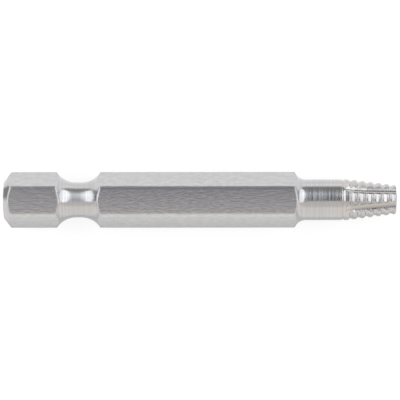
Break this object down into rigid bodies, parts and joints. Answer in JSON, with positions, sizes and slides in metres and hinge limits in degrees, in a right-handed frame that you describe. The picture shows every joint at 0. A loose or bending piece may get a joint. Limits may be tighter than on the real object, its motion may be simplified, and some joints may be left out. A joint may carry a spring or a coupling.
{
  "type": "screw extractor bit",
  "caption": "One-piece steel screw extractor: hexagonal bit shank with a detent groove, a turned neck and a tapered tip with ring teeth and slightly slanted flutes.",
  "frame": {"origin": "on the axis, at the centre of the round face of the drive end", "axes": "+X along the axis, from the drive end to the tip; +Z out of one of the six flats, and -Z out of the flat that the bit lies on"},
  "size_m": [0.05, 0.0072, 0.0064],
  "materials": {
    "steel": "bright satin steel, turned on the neck and tip and ground on the flats"
  },
  "bodies": {
    "root": {"extractor_bit": "steel"}
  },
  "joints": []
}
